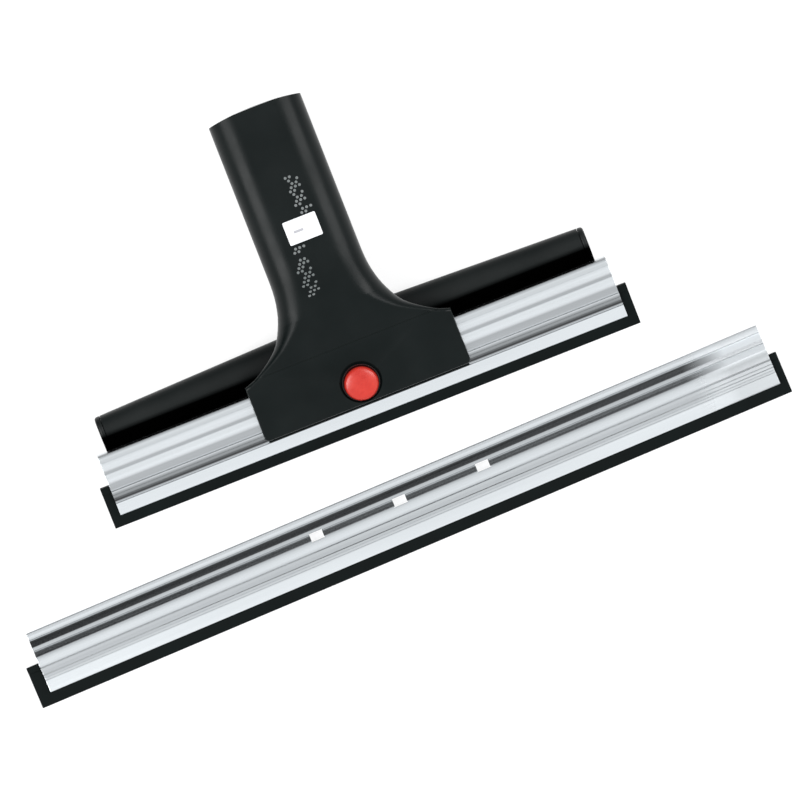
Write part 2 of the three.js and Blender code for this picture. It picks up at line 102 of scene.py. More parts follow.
# ---- materials ----
class Finish:
    """A principled surface whose nodes are added piece by piece."""

    def __init__(self, name, colour, roughness, metallic=0.0, specular=0.5, coat=0.0):
        self.material = bpy.data.materials.new(name)
        self.material.use_nodes = True
        self.nodes = self.material.node_tree.nodes
        self.links = self.material.node_tree.links
        self.shader = self.nodes["Principled BSDF"]
        self.shader.inputs["Base Color"].default_value = (*colour, 1)
        self.shader.inputs["Roughness"].default_value = roughness
        self.shader.inputs["Metallic"].default_value = metallic
        self.shader.inputs["Specular IOR Level"].default_value = specular
        self.shader.inputs["Coat Weight"].default_value = coat
        self.where = self.nodes.new("ShaderNodeTexCoord").outputs["Object"]

    def placed(self, place):
        """Coordinates in the millimetres of a piece that stands at place."""
        mapping = self.nodes.new("ShaderNodeMapping")
        mapping.vector_type = "TEXTURE"
        spot, turn, size = place.decompose()
        mapping.inputs["Location"].default_value = spot
        mapping.inputs["Rotation"].default_value = turn.to_euler()
        mapping.inputs["Scale"].default_value = size
        self.links.new(self.where, mapping.inputs["Vector"])
        return mapping.outputs["Vector"]

    def stretched(self, scale, along):
        mapping = self.nodes.new("ShaderNodeMapping")
        mapping.inputs["Scale"].default_value = scale
        self.links.new(along, mapping.inputs["Vector"])
        return mapping.outputs["Vector"]

    def apart(self, vector):
        split = self.nodes.new("ShaderNodeSeparateXYZ")
        self.links.new(vector, split.inputs["Vector"])
        return split.outputs["X"], split.outputs["Y"], split.outputs["Z"]

    def bands(self, value, stops):
        """A grey that runs through (position, brightness) stops."""
        ramp = self.nodes.new("ShaderNodeValToRGB")
        row = ramp.color_ramp.elements
        while len(row) < len(stops):
            row.new(1.0)
        for element, (position, grey) in zip(row, stops):
            element.position = position
            element.color = (grey, grey, grey, 1)
        self.links.new(value, ramp.inputs["Fac"])
        return ramp.outputs["Color"]

    def blend(self, kind, factor, first, second):
        mix = self.nodes.new("ShaderNodeMix")
        mix.data_type = "RGBA"
        mix.blend_type = kind
        for socket, value in zip(("Factor", "A", "B"), (factor, first, second)):
            if isinstance(value, (int, float, tuple)):
                mix.inputs[socket].default_value = value
            else:
                self.links.new(value, mix.inputs[socket])
        return mix.outputs["Result"]

    def noise(self, scale, detail=3.0, rough=0.5, along=None):
        texture = self.nodes.new("ShaderNodeTexNoise")
        texture.inputs["Scale"].default_value = scale
        texture.inputs["Detail"].default_value = detail
        texture.inputs["Roughness"].default_value = rough
        self.links.new(along or self.where, texture.inputs["Vector"])
        return texture.outputs["Fac"]

    def spread(self, value, low, high, start=0.3, end=0.7):
        ramp = self.nodes.new("ShaderNodeMapRange")
        ramp.inputs["From Min"].default_value = start
        ramp.inputs["From Max"].default_value = end
        ramp.inputs["To Min"].default_value = low
        ramp.inputs["To Max"].default_value = high
        self.links.new(value, ramp.inputs["Value"])
        return ramp.outputs["Result"]

    def tint(self, value, first, second):
        mix = self.nodes.new("ShaderNodeMix")
        mix.data_type = "RGBA"
        mix.inputs["A"].default_value = (*first, 1)
        mix.inputs["B"].default_value = (*second, 1)
        self.links.new(value, mix.inputs["Factor"])
        return mix.outputs["Result"]

    def drive(self, socket, value):
        self.links.new(value, self.shader.inputs[socket])

    def relief(self, *layers):
        """Bump from (height, strength, distance in metres) layers, the first one deepest."""
        normal = None
        for height, strength, distance in layers:
            bump = self.nodes.new("ShaderNodeBump")
            bump.inputs["Strength"].default_value = strength
            bump.inputs["Distance"].default_value = distance
            self.links.new(height, bump.inputs["Height"])
            if normal:
                self.links.new(normal, bump.inputs["Normal"])
            normal = bump.outputs["Normal"]
        self.links.new(normal, self.shader.inputs["Normal"])


# Greys up the rails' faces. They were set one by one and stand in for a studio's reflections,
# so they stay on the metal in any light.
BAND_SPAN = 35
# x limits where a rail turns rougher and takes painted end reflections; the fitted rail's lie beyond its ends
NO_ROUGH_PAINTED_END, ROUGH_PAINTED_RIGHT_END = (300, 301), (138, 158)
# In the fitted rail's greys, the darkest stops near 12 mm are painted shade in the crease by the plate's hook, and
# the last stops at the top edge are painted shadow of the suction bar; the rest are painted reflections.
RAIL_BANDS = (
    (10.6, 0.79), (11.6, 0.4), (12.1, 0.05), (12.8, 0.08), (13.3, 0.22), (14, 0.32), (15.2, 0.33), (16, 0.54),
    (16.4, 0.66), (17, 0.68), (17.6, 0.46), (20, 0.45), (21, 0.72), (22, 0.79), (24, 0.78), (24.9, 0.48),
    (25.8, 0.44), (26.8, 0.74), (28.4, 0.78), (30, 0.66), (31.2, 0.62), (32, 0.66), (32.6, 0.5), (33.4, 0.3),
)
SPARE_BANDS = (
    (10, 0.78), (11.2, 0.62), (12.6, 0.54), (13.7, 0.5), (14.6, 0.53), (15.6, 0.56), (16.4, 0.56), (16.9, 0.56),
    (17.3, 0.62), (18.2, 0.72), (19.6, 0.7), (20.6, 0.64), (21.8, 0.45), (22.6, 0.42), (24.4, 0.5), (25.2, 0.52),
    (26.3, 0.5), (26.9, 0.24), (29.2, 0.2), (29.8, 0.55), (31.4, 0.74), (32.3, 0.64), (33.2, 0.7),
)
SPARE_END_BANDS = (
    (10, 0.52), (13, 0.5), (18, 0.5), (20, 0.44), (21, 0.56), (22.4, 0.95), (24, 0.95), (25, 0.5), (26.3, 0.5),
    (27, 0.98), (29.4, 0.98), (30.4, 0.62), (33.4, 0.55),
)


def moulded_plastic(name, dark, light, roughness, specular, painted_shade_until=None):
    """Fine-grained plastic; below the y given last, in the head's axes, the surface is painted nearly black and its
    specular level dropped, as painted shade.
    """
    finish = Finish(name, dark, roughness, specular=specular)
    cloud = finish.noise(28, 4)
    colour = finish.tint(finish.spread(cloud, 0, 1), dark, light)
    # painted shade: below that y the colour goes to black and the specular level to almost nothing
    if painted_shade_until:
        up = finish.apart(finish.placed(HEAD))[1]
        outside_painted_shade = finish.spread(up, 0, 1, painted_shade_until, painted_shade_until + 2.2)
        colour = finish.blend("MULTIPLY", 1.0, colour, outside_painted_shade)
        finish.drive("Specular IOR Level", finish.spread(outside_painted_shade, 0.004, specular, 0, 1))
    finish.drive("Base Color", colour)
    finish.drive("Roughness", finish.spread(finish.noise(60, 5, 0.6), roughness - 0.05, roughness + 0.07))
    finish.relief((finish.noise(2600, 2), 0.25, 0.00004), (cloud, 0.08, 0.0003))
    return finish.material


def extruded_aluminium(name, place, bands, rough_painted_from, rough_painted_to, end_reflection_bands=((0, 0.6), (35, 0.6))):
    """Bright drawn metal in bands of grey up its face, as (mm, brightness), which are painted reflections and
    painted shade. Between the two given x limits along the rail it turns rougher and evenly grey, with the end bands
    over it as painted reflections."""
    finish = Finish(name, (0.86, 0.88, 0.9), 0.2, metallic=1.0)
    spot = finish.placed(place)
    along, up, out = finish.apart(spot)
    die_lines = finish.noise(1, 6, 0.6, finish.stretched((0.006, 2.6, 2.6), spot))
    rub = finish.noise(1, 3, 0.5, finish.stretched((0.014, 0.16, 0.16), spot))
    face_height = finish.spread(up, 0, 1, 0, BAND_SPAN)
    at_end = finish.spread(along, 0, 1, rough_painted_from, rough_painted_to)
    before_end = finish.spread(along, 1, 0, rough_painted_from, rough_painted_to)

    def banded(stops):
        return finish.bands(face_height, [(v / BAND_SPAN, grey) for v, grey in stops])

    on_face = finish.blend("MULTIPLY", 1.0, finish.spread(out, 0, 1, 2.6, 3.2), before_end)
    metal = finish.blend("MIX", on_face, (0.8, 0.8, 0.8, 1), banded(bands))
    metal = finish.blend("MULTIPLY", 1.0, metal, (0.965, 1.01, 1.04, 1))
    # painted reflection: at the end the face's bands give way to an even grey times the end bands, painting out the
    # flutes' dark reflections
    metal = finish.blend("MULTIPLY", at_end, metal, banded(end_reflection_bands))
    metal = finish.blend("MULTIPLY", finish.spread(rub, 0.0, 1.0), metal, (0.96, 0.96, 0.96, 1))
    finish.drive("Base Color", metal)
    drawn = finish.spread(die_lines, 0.13, 0.25)
    finish.drive("Roughness", finish.blend("MIX", at_end, drawn, (0.45, 0.45, 0.45, 1)))
    finish.relief((die_lines, 0.12, 0.00003))
    return finish.material


def squeegee_rubber(name, colour, roughness):
    finish = Finish(name, colour, roughness, specular=0.065)
    bloom = finish.noise(45, 5, 0.65)
    finish.drive("Base Color", finish.tint(finish.spread(bloom, 0, 1, 0.4, 0.8), colour, [c * 1.8 for c in colour]))
    finish.drive("Roughness", finish.spread(bloom, roughness - 0.08, roughness + 0.1))
    finish.relief((finish.noise(3200, 2), 0.2, 0.00003))
    return finish.material


def glossy_red():
    finish = Finish("button_red_gloss", (0.5, 0.035, 0.028), 0.36, specular=0.35, coat=0.08)
    finish.shader.inputs["Coat Roughness"].default_value = 0.15
    wear = finish.noise(180, 4, 0.6)
    out = finish.apart(finish.placed(BLADE_PLACE))[2]
    red = finish.tint(finish.spread(wear, 0, 1), (0.33, 0.013, 0.008), (0.41, 0.024, 0.014))
    # painted shade: the skirt and the foot of the rim, below 13.2 mm out from the rail's back, are painted
    # near-black red as the shade of the well round the button
    above_painted_well_shade = finish.spread(out, 0, 1, 12.3, 13.2)
    finish.drive("Base Color", finish.blend("MIX", above_painted_well_shade, (0.03, 0.0015, 0.002, 1), red))
    finish.drive("Roughness", finish.spread(wear, 0.24, 0.38))
    finish.relief((finish.noise(2400, 2), 0.1, 0.00003))
    return finish.material


def label_white():
    finish = Finish("label_white_print", (0.86, 0.87, 0.88), 0.35, specular=0.4)
    paper = finish.noise(260, 3)
    finish.drive("Base Color", finish.tint(finish.spread(paper, 0, 1), (0.57, 0.58, 0.59), (0.62, 0.63, 0.64)))
    finish.drive("Roughness", finish.spread(paper, 0.3, 0.42))
    return finish.material


def zinc_steel():
    finish = Finish("zinc_steel", (0.55, 0.56, 0.57), 0.34, metallic=1.0)
    spangle = finish.noise(420, 4)
    finish.drive("Base Color", finish.tint(finish.spread(spangle, 0, 1), (0.46, 0.47, 0.48), (0.62, 0.63, 0.64)))
    finish.drive("Roughness", finish.spread(spangle, 0.26, 0.44))
    return finish.material


def studio_floor():
    finish = Finish("studio_floor", (0.3, 0.3, 0.3), 0.9, specular=0.1)
    finish.drive("Base Color", finish.tint(finish.noise(3), (0.29, 0.29, 0.29), (0.31, 0.31, 0.31)))
    finish.shader.inputs["Emission Color"].default_value = (1, 1, 1, 1)
    finish.shader.inputs["Emission Strength"].default_value = 0.72
    return finish.material


SHELL_BLACK = moulded_plastic("shell_black", (0.001, 0.0026, 0.0026), (0.0026, 0.0046, 0.0046), 0.33, 0.12)
# painted shade: bar_black is painted nearly black below y 39.2, where the bar lies in shadow behind the rail's top
# edge
BAR_BLACK = moulded_plastic(
    "bar_black", (0.0018, 0.003, 0.003), (0.0045, 0.006, 0.006), 0.42, 0.13, painted_shade_until=39.2)
RAIL_METAL = extruded_aluminium("rail_aluminium_bright", BLADE_PLACE, RAIL_BANDS, *NO_ROUGH_PAINTED_END)
SPARE_METAL = extruded_aluminium(
    "spare_rail_aluminium_bright", SPARE_PLACE, SPARE_BANDS, *ROUGH_PAINTED_RIGHT_END, SPARE_END_BANDS)
BLADE_RUBBER = squeegee_rubber("blade_rubber_black", (0.0012, 0.0026, 0.0026), 0.55)
SEAL_RUBBER = squeegee_rubber("seal_rubber_black", (0.008, 0.008, 0.009), 0.6)
BUTTON_RED = glossy_red()
LABEL_WHITE = label_white()
DOT_GREY = moulded_plastic("print_grey", (0.07, 0.08, 0.08), (0.16, 0.17, 0.17), 0.5, 0.2)
LINE_GREY = moulded_plastic("print_pale_grey", (0.28, 0.28, 0.3), (0.34, 0.34, 0.36), 0.5, 0.2)
ZINC = zinc_steel()


# ---- making and finishing pieces ----
def loop(bm, points):
    corners = [bm.verts.new(point) for point in points]
    return [bm.edges.new(pair) for pair in zip(corners, corners[1:] + corners[:1])]


def skin(bm, loops, cap_first=True, cap_last=True):
    for first, second in zip(loops, loops[1:]):
        bmesh.ops.bridge_loops(bm, edges=first + second)
    if cap_first:
        bmesh.ops.edgeloop_fill(bm, edges=loops[0])
    if cap_last:
        bmesh.ops.edgeloop_fill(bm, edges=loops[-1])


def hollow(bm, outer, inner):
    """A wall between two rows of loops, closed at both ends."""
    for loops in (outer, inner, [outer[0], inner[0]], [outer[-1], inner[-1]]):
        skin(bm, loops, cap_first=False, cap_last=False)


def block(bm, low, high):
    """A closed box added to bm."""
    size = [b - a for a, b in zip(low, high)]
    middle = [(a + b) / 2 for a, b in zip(low, high)]
    made = bmesh.ops.create_cube(bm, size=1)
    bmesh.ops.scale(bm, vec=size, verts=made["verts"])
    bmesh.ops.translate(bm, vec=middle, verts=made["verts"])
    return made["verts"]


def post(bm, radius, x, y, z0, z1, sides=32):
    made = bmesh.ops.create_cone(bm, cap_ends=True, segments=sides, radius1=radius, radius2=radius, depth=z1 - z0)
    bmesh.ops.translate(bm, vec=(x, y, (z0 + z1) / 2), verts=made["verts"])
    return made["verts"]


def lathe(bm, profile, steps=64):
    """A full turn about z of (radius, height) points, closed at the axis or on itself."""
    closed = profile[0] == profile[-1]
    points = profile[:-1] if closed else profile
    line = [bm.verts.new((radius, 0, height)) for radius, height in points]
    pairs = list(zip(line, line[1:])) + ([(line[-1], line[0])] if closed else [])
    edges = [bm.edges.new(pair) for pair in pairs]
    bmesh.ops.spin(bm, geom=line + edges, cent=(0, 0, 0), axis=(0, 0, 1), angle=math.tau, steps=steps,
                   use_merge=True)
    bmesh.ops.remove_doubles(bm, verts=bm.verts, dist=1e-4)


def piece(name, bm, place, body, nodes, material, sharp=32, bevel=None):
    """It rides on body, unless it blends between two bodies and body is None."""
    bmesh.ops.recalc_face_normals(bm, faces=bm.faces)
    bmesh.ops.transform(bm, matrix=place, verts=bm.verts)
    mesh = bpy.data.meshes.new(name)
    bm.to_mesh(mesh)
    bm.free()
    mesh.materials.append(material)
    made = bpy.data.objects.new(name, mesh)
    bpy.context.scene.collection.objects.link(made)
    smooth(made, sharp)
    if bevel:
        add_bevel(made, *bevel)
    if body:
        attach(made, body)
    if nodes:
        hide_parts(*nodes)
    return made


def smooth(made, sharp):
    for face in made.data.polygons:
        face.use_smooth = True
    made.data.set_sharp_from_angle(angle=math.radians(sharp))


def add_bevel(made, width, segments=2, angle=32):
    edge = made.modifiers.new("softened_edges", "BEVEL")
    edge.width = width / 1000
    edge.segments = segments
    edge.limit_method = "ANGLE"
    edge.angle_limit = math.radians(angle)
    edge.use_clamp_overlap = True
    edge.harden_normals = True


def cut(made, place, shape, sharp=32):
    """Takes away from a piece what shape(bm) adds to an empty bmesh."""
    bm = bmesh.new()
    shape(bm)
    bmesh.ops.transform(bm, matrix=place, verts=bm.verts)
    bmesh.ops.recalc_face_normals(bm, faces=bm.faces)
    mesh = bpy.data.meshes.new("cutter")
    bm.to_mesh(mesh)
    bm.free()
    cutter = bpy.data.objects.new("cutter", mesh)
    bpy.context.scene.collection.objects.link(cutter)
    knife = made.modifiers.new("cut", "BOOLEAN")
    knife.operation = "DIFFERENCE"
    knife.solver = "EXACT"
    knife.object = cutter
    outside_painted_shade = made.evaluated_get(bpy.context.evaluated_depsgraph_get())
    result = bpy.data.meshes.new_from_object(outside_painted_shade)
    made.modifiers.remove(knife)
    old, made.data = made.data, result
    bpy.data.meshes.remove(old)
    bpy.data.objects.remove(cutter)
    bpy.data.meshes.remove(mesh)
    smooth(made, sharp)


# ---- the head's outline ----
def half_width(y):
    """Half the width of the neck and flare, straight between the outline's stations."""
    for (y0, a0), (y1, a1) in zip(CONTOUR, CONTOUR[1:]):
        if y <= y1:
            return a0 + (a1 - a0) * (y - y0) / (y1 - y0)
    return NECK_HALF


def even_half_width(y):
    """The same, with the corners at the stations evened out."""
    reach = min(1.8, max(0.05, (y - 38.5) / 2))
    return sum(half_width(y + reach * k / 2) for k in (-2, -1, 0, 1, 2)) / 5


def plane_z(y, w):
    """Height of a plane parallel to the rail's back, w in front of it."""
    return TILT_Z + (y - TILT_Y) * math.tan(TILT) + w / math.cos(TILT)


def front_z(y):
    t = y - (FLARE_END_Y - LEVEL_BLEND)
    if t <= 0:
        return plane_z(y, PLATE_FRONT)
    if t >= 2 * LEVEL_BLEND:
        return plane_z(FLARE_END_Y, PLATE_FRONT)
    return plane_z(FLARE_END_Y - LEVEL_BLEND, PLATE_FRONT) + math.tan(TILT) * (t - t * t / (4 * LEVEL_BLEND))


def eased(low, high, value):
    t = min(max((value - low) / (high - low), 0), 1)
    return t * t * (3 - 2 * t)


def mouth_y(x):
    radius = (NECK_HALF**2 + (MOUTH_Y - MOUTH_SIDE_Y) ** 2) / (2 * (MOUTH_Y - MOUTH_SIDE_Y))
    return MOUTH_Y - radius + math.sqrt(radius**2 - x * x)


CORNER_STEPS = 10


def arch(half, side_z, top, across, deep, sign):
    """From the right side over the crown to the left, in the x-z plane; sign -1 turns it under."""
    points = [(half, side_z)]
    for step in range(CORNER_STEPS + 1):
        angle = math.radians(90 * step / CORNER_STEPS)
        points.append((half - across * (1 - math.cos(angle)), top - sign * deep * (1 - math.sin(angle))))
    points.append((half - across - 0.4, top))
    return points + [(-x, z) for x, z in reversed(points)]


def shell_ring(y, side_z, sign, duct):
    """One half shell's section at y, with the duct's hollow or solid."""
    half = even_half_width(y)
    if sign > 0:
        top, deep = front_z(y), 1.6 + 10.1 * eased(38, 60, y)
        slope = (even_half_width(y) - even_half_width(y + 0.5)) / 0.5
        across = deep * (1 + (math.hypot(1, slope) - 1) * (1 - eased(42, 54, y)))
    else:
        top, deep, across = 0.0, 9.0, 9.0
    outer = arch(half, side_z, top, across, deep, sign)
    if duct:
        inner = arch(half - 2.8, side_z, top - sign * 2.8, max(across - 2.8, 0.6), max(deep - 2.8, 0.6), sign)
    else:
        count = len(outer)
        inner = [(half - 1.5 - (2 * half - 3) * k / (count - 1), side_z) for k in range(count)]
    return [(x, y, z) for x, z in outer + inner[::-1]]


def neck_half_shell(bm, start, end, side_z, sign):
    """One half of the neck, solid at the flare and with the duct's hollow above it."""
    at_flare = (38.5, 39.2, 40, 41, 42, 43.2, 44.5, 46, 47.6, 49.4, 51.4, 53.4, 56)
    stations = [(y, False) for y in at_flare if y >= start]
    stations += [(y, True) for y in (56, 58, 60.5, 63, 66, 69, 72, 75, 78, 81, 84, 95, end)]
    skin(bm, [loop(bm, shell_ring(y, side_z, sign, duct)) for y, duct in stations])


def tube_loop(bm, y, radius=None):
    """The socket's outside at y, or its bore where a radius is given."""
    if radius:
        turns = [math.tau * k / 96 for k in range(96)]
        section = [(radius * math.cos(a), NECK_AXIS_Z + radius * math.sin(a)) for a in turns]
    else:
        crown = arch(NECK_HALF, NECK_AXIS_Z, front_z(y), 11.7, 11.7, 1)
        section = crown[:-1] + arch(NECK_HALF, NECK_AXIS_Z, 0, 9, 9, -1)[:0:-1]
    bulge = max(0, (y - 141) / (MOUTH_Y - 141))
    return loop(bm, [(x, y + (mouth_y(x) - MOUTH_Y) * bulge, z) for x, z in section])


def socket_tube(bm):
    """The neck's end: one closed tube with the stop ring and the seal's groove."""
    outer = [tube_loop(bm, y) for y in (TUBE_START_Y, 125, 141, 146, MOUTH_Y)]
    inner = [tube_loop(bm, y, radius) for y, radius in (
        (TUBE_START_Y, 15.5), (SOCKET_FLOOR_Y, 15.5), (SOCKET_FLOOR_Y, SOCKET_R), (118, SOCKET_R), (118, 19),
        (121.6, 19), (121.6, SOCKET_R), (141, SOCKET_R), (149.9, SOCKET_R), (MOUTH_Y, 18.3))]
    hollow(bm, outer, inner)


# ---- the front shell: neck, flare and the base plate over the rail ----
def circle(bm, radius, y_shift, w, sides=64):
    """A ring of edges about the button's axis, in the blade's tilted axes, given in head axes."""
    points = []
    for step in range(sides):
        angle = math.tau * step / sides
        on_blade = Vector((radius * math.cos(angle), BUTTON_V + y_shift + radius * math.sin(angle), w))
        points.append(BLADE_IN_HEAD @ on_blade)
    return loop(bm, points)


def plate_loop(bm, inset, w):
    """The base plate's outline on the plane w; inset 1 draws it in by the whole rounding."""
    low, side = 11.1 + 0.3 * inset, PLATE_HALF - 0.5 * inset
    right = [(side - 1.5, low), (side - 0.7, low + 0.3), (side - 0.2, low + 0.9), (side, low + 1.7)]
    right += [(side, 36.8 - 1.5 * inset), (46.4 - 0.7 * inset, 37.55 - 1.5 * inset), (44 - 5 * inset, 38.42)]
    points = right + [(-x, y) for x, y in reversed(right)]
    return loop(bm, [(x, y, plane_z(y, w)) for x, y in points])


def base_plate(bm):
    rows = [plate_loop(bm, 1.15, PLATE_FRONT)]
    for angle in (90, 72, 54, 36, 18, 0):
        turn = math.radians(angle)
        rows.append(plate_loop(bm, 1 - math.cos(turn), PLATE_FRONT - 1.6 * (1 - math.sin(turn))))
    rows += [plate_loop(bm, 0, 5.9), plate_loop(bm, 3, 5.9), plate_loop(bm, 3, 10.4)]
    skin(bm, rows, cap_first=False, cap_last=False)
    hole = [circle(bm, radius, y_shift, w) for radius, y_shift, w in (
        (9.6, 1.0, PLATE_FRONT), (9.2, 0.7, 12.2), (BUTTON_HOLE_R, 0, 11.2), (BUTTON_HOLE_R, 0, 10.4))]
    skin(bm, hole, cap_first=False, cap_last=False)
    bmesh.ops.triangle_fill(bm, use_beauty=True, edges=rows[0] + hole[0])
    bmesh.ops.triangle_fill(bm, use_beauty=True, edges=rows[-1] + hole[-1])


def front_shell():
    bm = bmesh.new()
    neck_half_shell(bm, 38, TUBE_START_Y, NECK_AXIS_Z + 0.15, 1)
    socket_tube(bm)
    base_plate(bm)
    made = piece("front_shell_moulding", bm, HEAD, "head", ["front_shell"], SHELL_BLACK, sharp=38)
    top = plane_z(FLARE_END_Y, PLATE_FRONT)
    cut(made, HEAD, lambda knife: block(knife, (-7.1, 87.4, top - 0.4), (8.7, 98.6, top + 5)), 38)


def plate_walls():
    """The hook in the rail's crease, the wall above the rail and the posts of the bar's screws."""
    bm = bmesh.new()
    hook = block(bm, (-47.6, 11.2, 4.65), (47.6, 11.85, 6.2))
    wall = block(bm, (-45, 34, -0.1), (45, 38.2, 8.6))
    bmesh.ops.transform(bm, matrix=BLADE_IN_HEAD, verts=hook + wall)
    for x, y in BAR_SCREWS:
        post(bm, 3.6, x, y, 18.3, 24)
    piece("front_shell_inner_walls", bm, HEAD, "head", [], SHELL_BLACK, bevel=(0.2, 2))


def rear_shell():
    bm = bmesh.new()
    neck_half_shell(bm, 53.3, 107.85, NECK_AXIS_Z - 0.15, -1)
    made = piece("rear_shell_moulding", bm, HEAD, "head", ["rear_shell"], SHELL_BLACK, sharp=38)

    def recesses(knife):
        for x, y in SHELL_SCREWS:
            post(knife, 3.1, x, y, -2, 2.55)
        block(knife, (-17.8, 50, 5), (17.8, 57, 14))

    cut(made, HEAD, recesses, 38)
    spigot = bmesh.new()
    spigot_rows = []
    for half, low, high, y in (
            (19.6, 3.4, 15.6, 50.2), (19.6, 3.4, 15.6, 53.6), (17.8, 5, 14, 53.6), (17.8, 5, 14, 50.2)):
        corners = ((half, y, low), (half, y, high), (-half, y, high), (-half, y, low))
        spigot_rows.append(loop(spigot, corners))
    skin(spigot, spigot_rows + [spigot_rows[0]], False, False)
    piece("rear_shell_spigot", spigot, HEAD, "head", [], SHELL_BLACK, bevel=(0.3, 2))


# ---- the suction bar and its end caps ----
BAR_OUTER = (
    (25, 0), (46, 0), (50.5, 1.6), (52.3, 4), (52.8, 6.5), (52.8, 12), (52.2, 14.6), (50.8, 16.9), (48.5, 18),
    (41, 18), (38.5, 17), (34, 13.6), (22.5, 10.8), (20, 8.6), (19.5, 6), (20.5, 2.6),
)
BAR_INNER = (
    (25.4, 2), (45.8, 2), (49.2, 3.3), (50.4, 5), (50.8, 7), (50.8, 11.5), (50.3, 13.4), (49.4, 15), (47.9, 16),
    (41.6, 16), (39.6, 15.2), (34.8, 11.7), (23.3, 8.9), (21.9, 7.6), (21.6, 6), (22.2, 3.6),
)
BAR_HALF = 116.2
BAR_TUBE_HALF = 113.5


def bar_loop(bm, section, x, inset=0.0):
    """The bar's section at x, lower towards its ends, and drawn in evenly by inset."""
    loss = 3.7 * abs(x) / BAR_HALF
    corners = [Vector(point) for point in section]
    points = []
    for before, here, after in zip(corners[-1:] + corners[:-1], corners, corners[1:] + corners[:1]):
        a, b = (here - before).normalized(), (after - here).normalized()
        k = inset / (1 + a.dot(b))
        y, z = here.x - k * (a.y + b.y), here.y + k * (a.x + b.x)
        points.append((x, y - loss * min(max((y - 38) / 14.8, 0), 1), z))
    return loop(bm, points)


def suction_bar():
    bm = bmesh.new()
    stations = [-BAR_TUBE_HALF + 2 * BAR_TUBE_HALF * k / 24 for k in range(25)]
    outer = [bar_loop(bm, BAR_OUTER, x) for x in stations]
    inner = [bar_loop(bm, BAR_INNER, x) for x in stations]
    hollow(bm, outer, inner)
    made = piece("suction_bar_moulding", bm, HEAD, "head", ["suction_bar"], BAR_BLACK, sharp=50)

    def openings(knife):
        block(knife, (-20, 48, 3), (20, 55, 16))
        for slot in range(6):
            x = -104 + slot * 35
            block(knife, (x, 15, 4.2), (x + 33, 24, 7.4))
        for x, y in BAR_SCREWS:
            post(knife, 3.1, x, y, -1, 2.35)

    cut(made, HEAD, openings, 50)


def bar_end_cap(side, word):
    bm = bmesh.new()
    outer = [bar_loop(bm, BAR_OUTER, side * x, inset) for x, inset in
             ((113.8, 0.25), (114.0, 0), (115.0, 0), (115.6, 0.2), (116.0, 0.6), (116.2, 1.2))]
    skin(bm, outer)
    plug = [bar_loop(bm, BAR_INNER, side * x, inset) for x, inset in ((109, 0.7), (109.6, 0.35), (114.2, 0.35))]
    skin(bm, plug)
    piece(f"bar_end_cap_{word}_moulding", bm, HEAD, "head", [f"bar_end_cap_{word}"], BAR_BLACK,
          sharp=50)


# ---- the two blades ----
def flute(top, bottom, depth):
    """A long groove in the rail's face, steep at its top and easing out to its bottom."""
    return [
        (top, RAIL_FACE), (top - 0.12, RAIL_FACE - depth * 0.7), (top - 0.25, RAIL_FACE - depth * 0.93),
        (top - 0.45, RAIL_FACE - depth), ((top + bottom) / 2, RAIL_FACE - depth * 0.62),
        (bottom + 0.4, RAIL_FACE - 0.12), (bottom, RAIL_FACE),
    ]


RAIL_SECTION = (
    [(5.3, 0.3), (5.6, 0), (20.9, 0), (20.9, 2.6), (31.6, 2.6), (31.6, 0), (33.5, 0)]
    + [(33.5, 4.9), (33.35, 5.25), (33.0, RAIL_FACE)]
    + flute(30.2, 26.4, 1.1)
    + flute(25, 21.8, 1)
    + [(17.3, RAIL_FACE), (16.9, 5.1), (16.5, RAIL_FACE), (15, RAIL_FACE), (14.7, 5.15), (13.5, 5.15)]
    + [(13.2, RAIL_FACE), (12.1, RAIL_FACE), (12.1, 4.2), (10.9, 4.2), (10.9, 5.2), (5.6, 5.2)]
    + [(5.3, 4.9), (5.3, 3.45), (15.9, 3.45), (15.9, 4.2), (19.6, 4.2), (19.6, 0.8)]
    + [(15.9, 0.8), (15.9, 1.2), (5.3, 1.2)]
)
RUBBER_SECTION = (
    (0, 1.35), (16.15, 1.35), (16.15, 1.0), (19.3, 1.0), (19.3, 4.0), (16.15, 4.0), (16.15, 3.3), (0, 3.3),
)


def strip(section, left, right):
    """A section in the y-z plane drawn out along x."""
    bm = bmesh.new()
    start = loop(bm, [(left, v, w) for v, w in section])
    faces = bmesh.ops.edgeloop_fill(bm, edges=start)["faces"]
    drawn = bmesh.ops.extrude_face_region(bm, geom=faces, use_keep_orig=True)
    ends = [item for item in drawn["geom"] if isinstance(item, bmesh.types.BMVert)]
    bmesh.ops.translate(bm, vec=(right - left, 0, 0), verts=ends)
    return bm


def blade(word, place, metal, rail_length, rubber_left, rubber_right):
    """A rail with its latch holes and its rubber, on the body of the same name."""
    rail = strip(RAIL_SECTION, -rail_length / 2, rail_length / 2)
    made = piece(f"{word}_rail_extrusion", rail, place, word, [f"{word}_rail"], metal, sharp=25)

    def latch_holes(knife):
        for step in (-1, 0, 1):
            x = step * LATCH_PITCH
            block(knife, (x - 3, LATCH_HOLE_LOW, -2), (x + 3, LATCH_HOLE_HIGH, 8))

    cut(made, place, latch_holes, 25)
    add_bevel(made, 0.1, 2, 30)
    rubber = strip(RUBBER_SECTION, -rubber_left, rubber_right)
    piece(f"{word}_rubber_strip", rubber, place, word, [f"{word}_rubber"], BLADE_RUBBER,
          bevel=(0.18, 2))


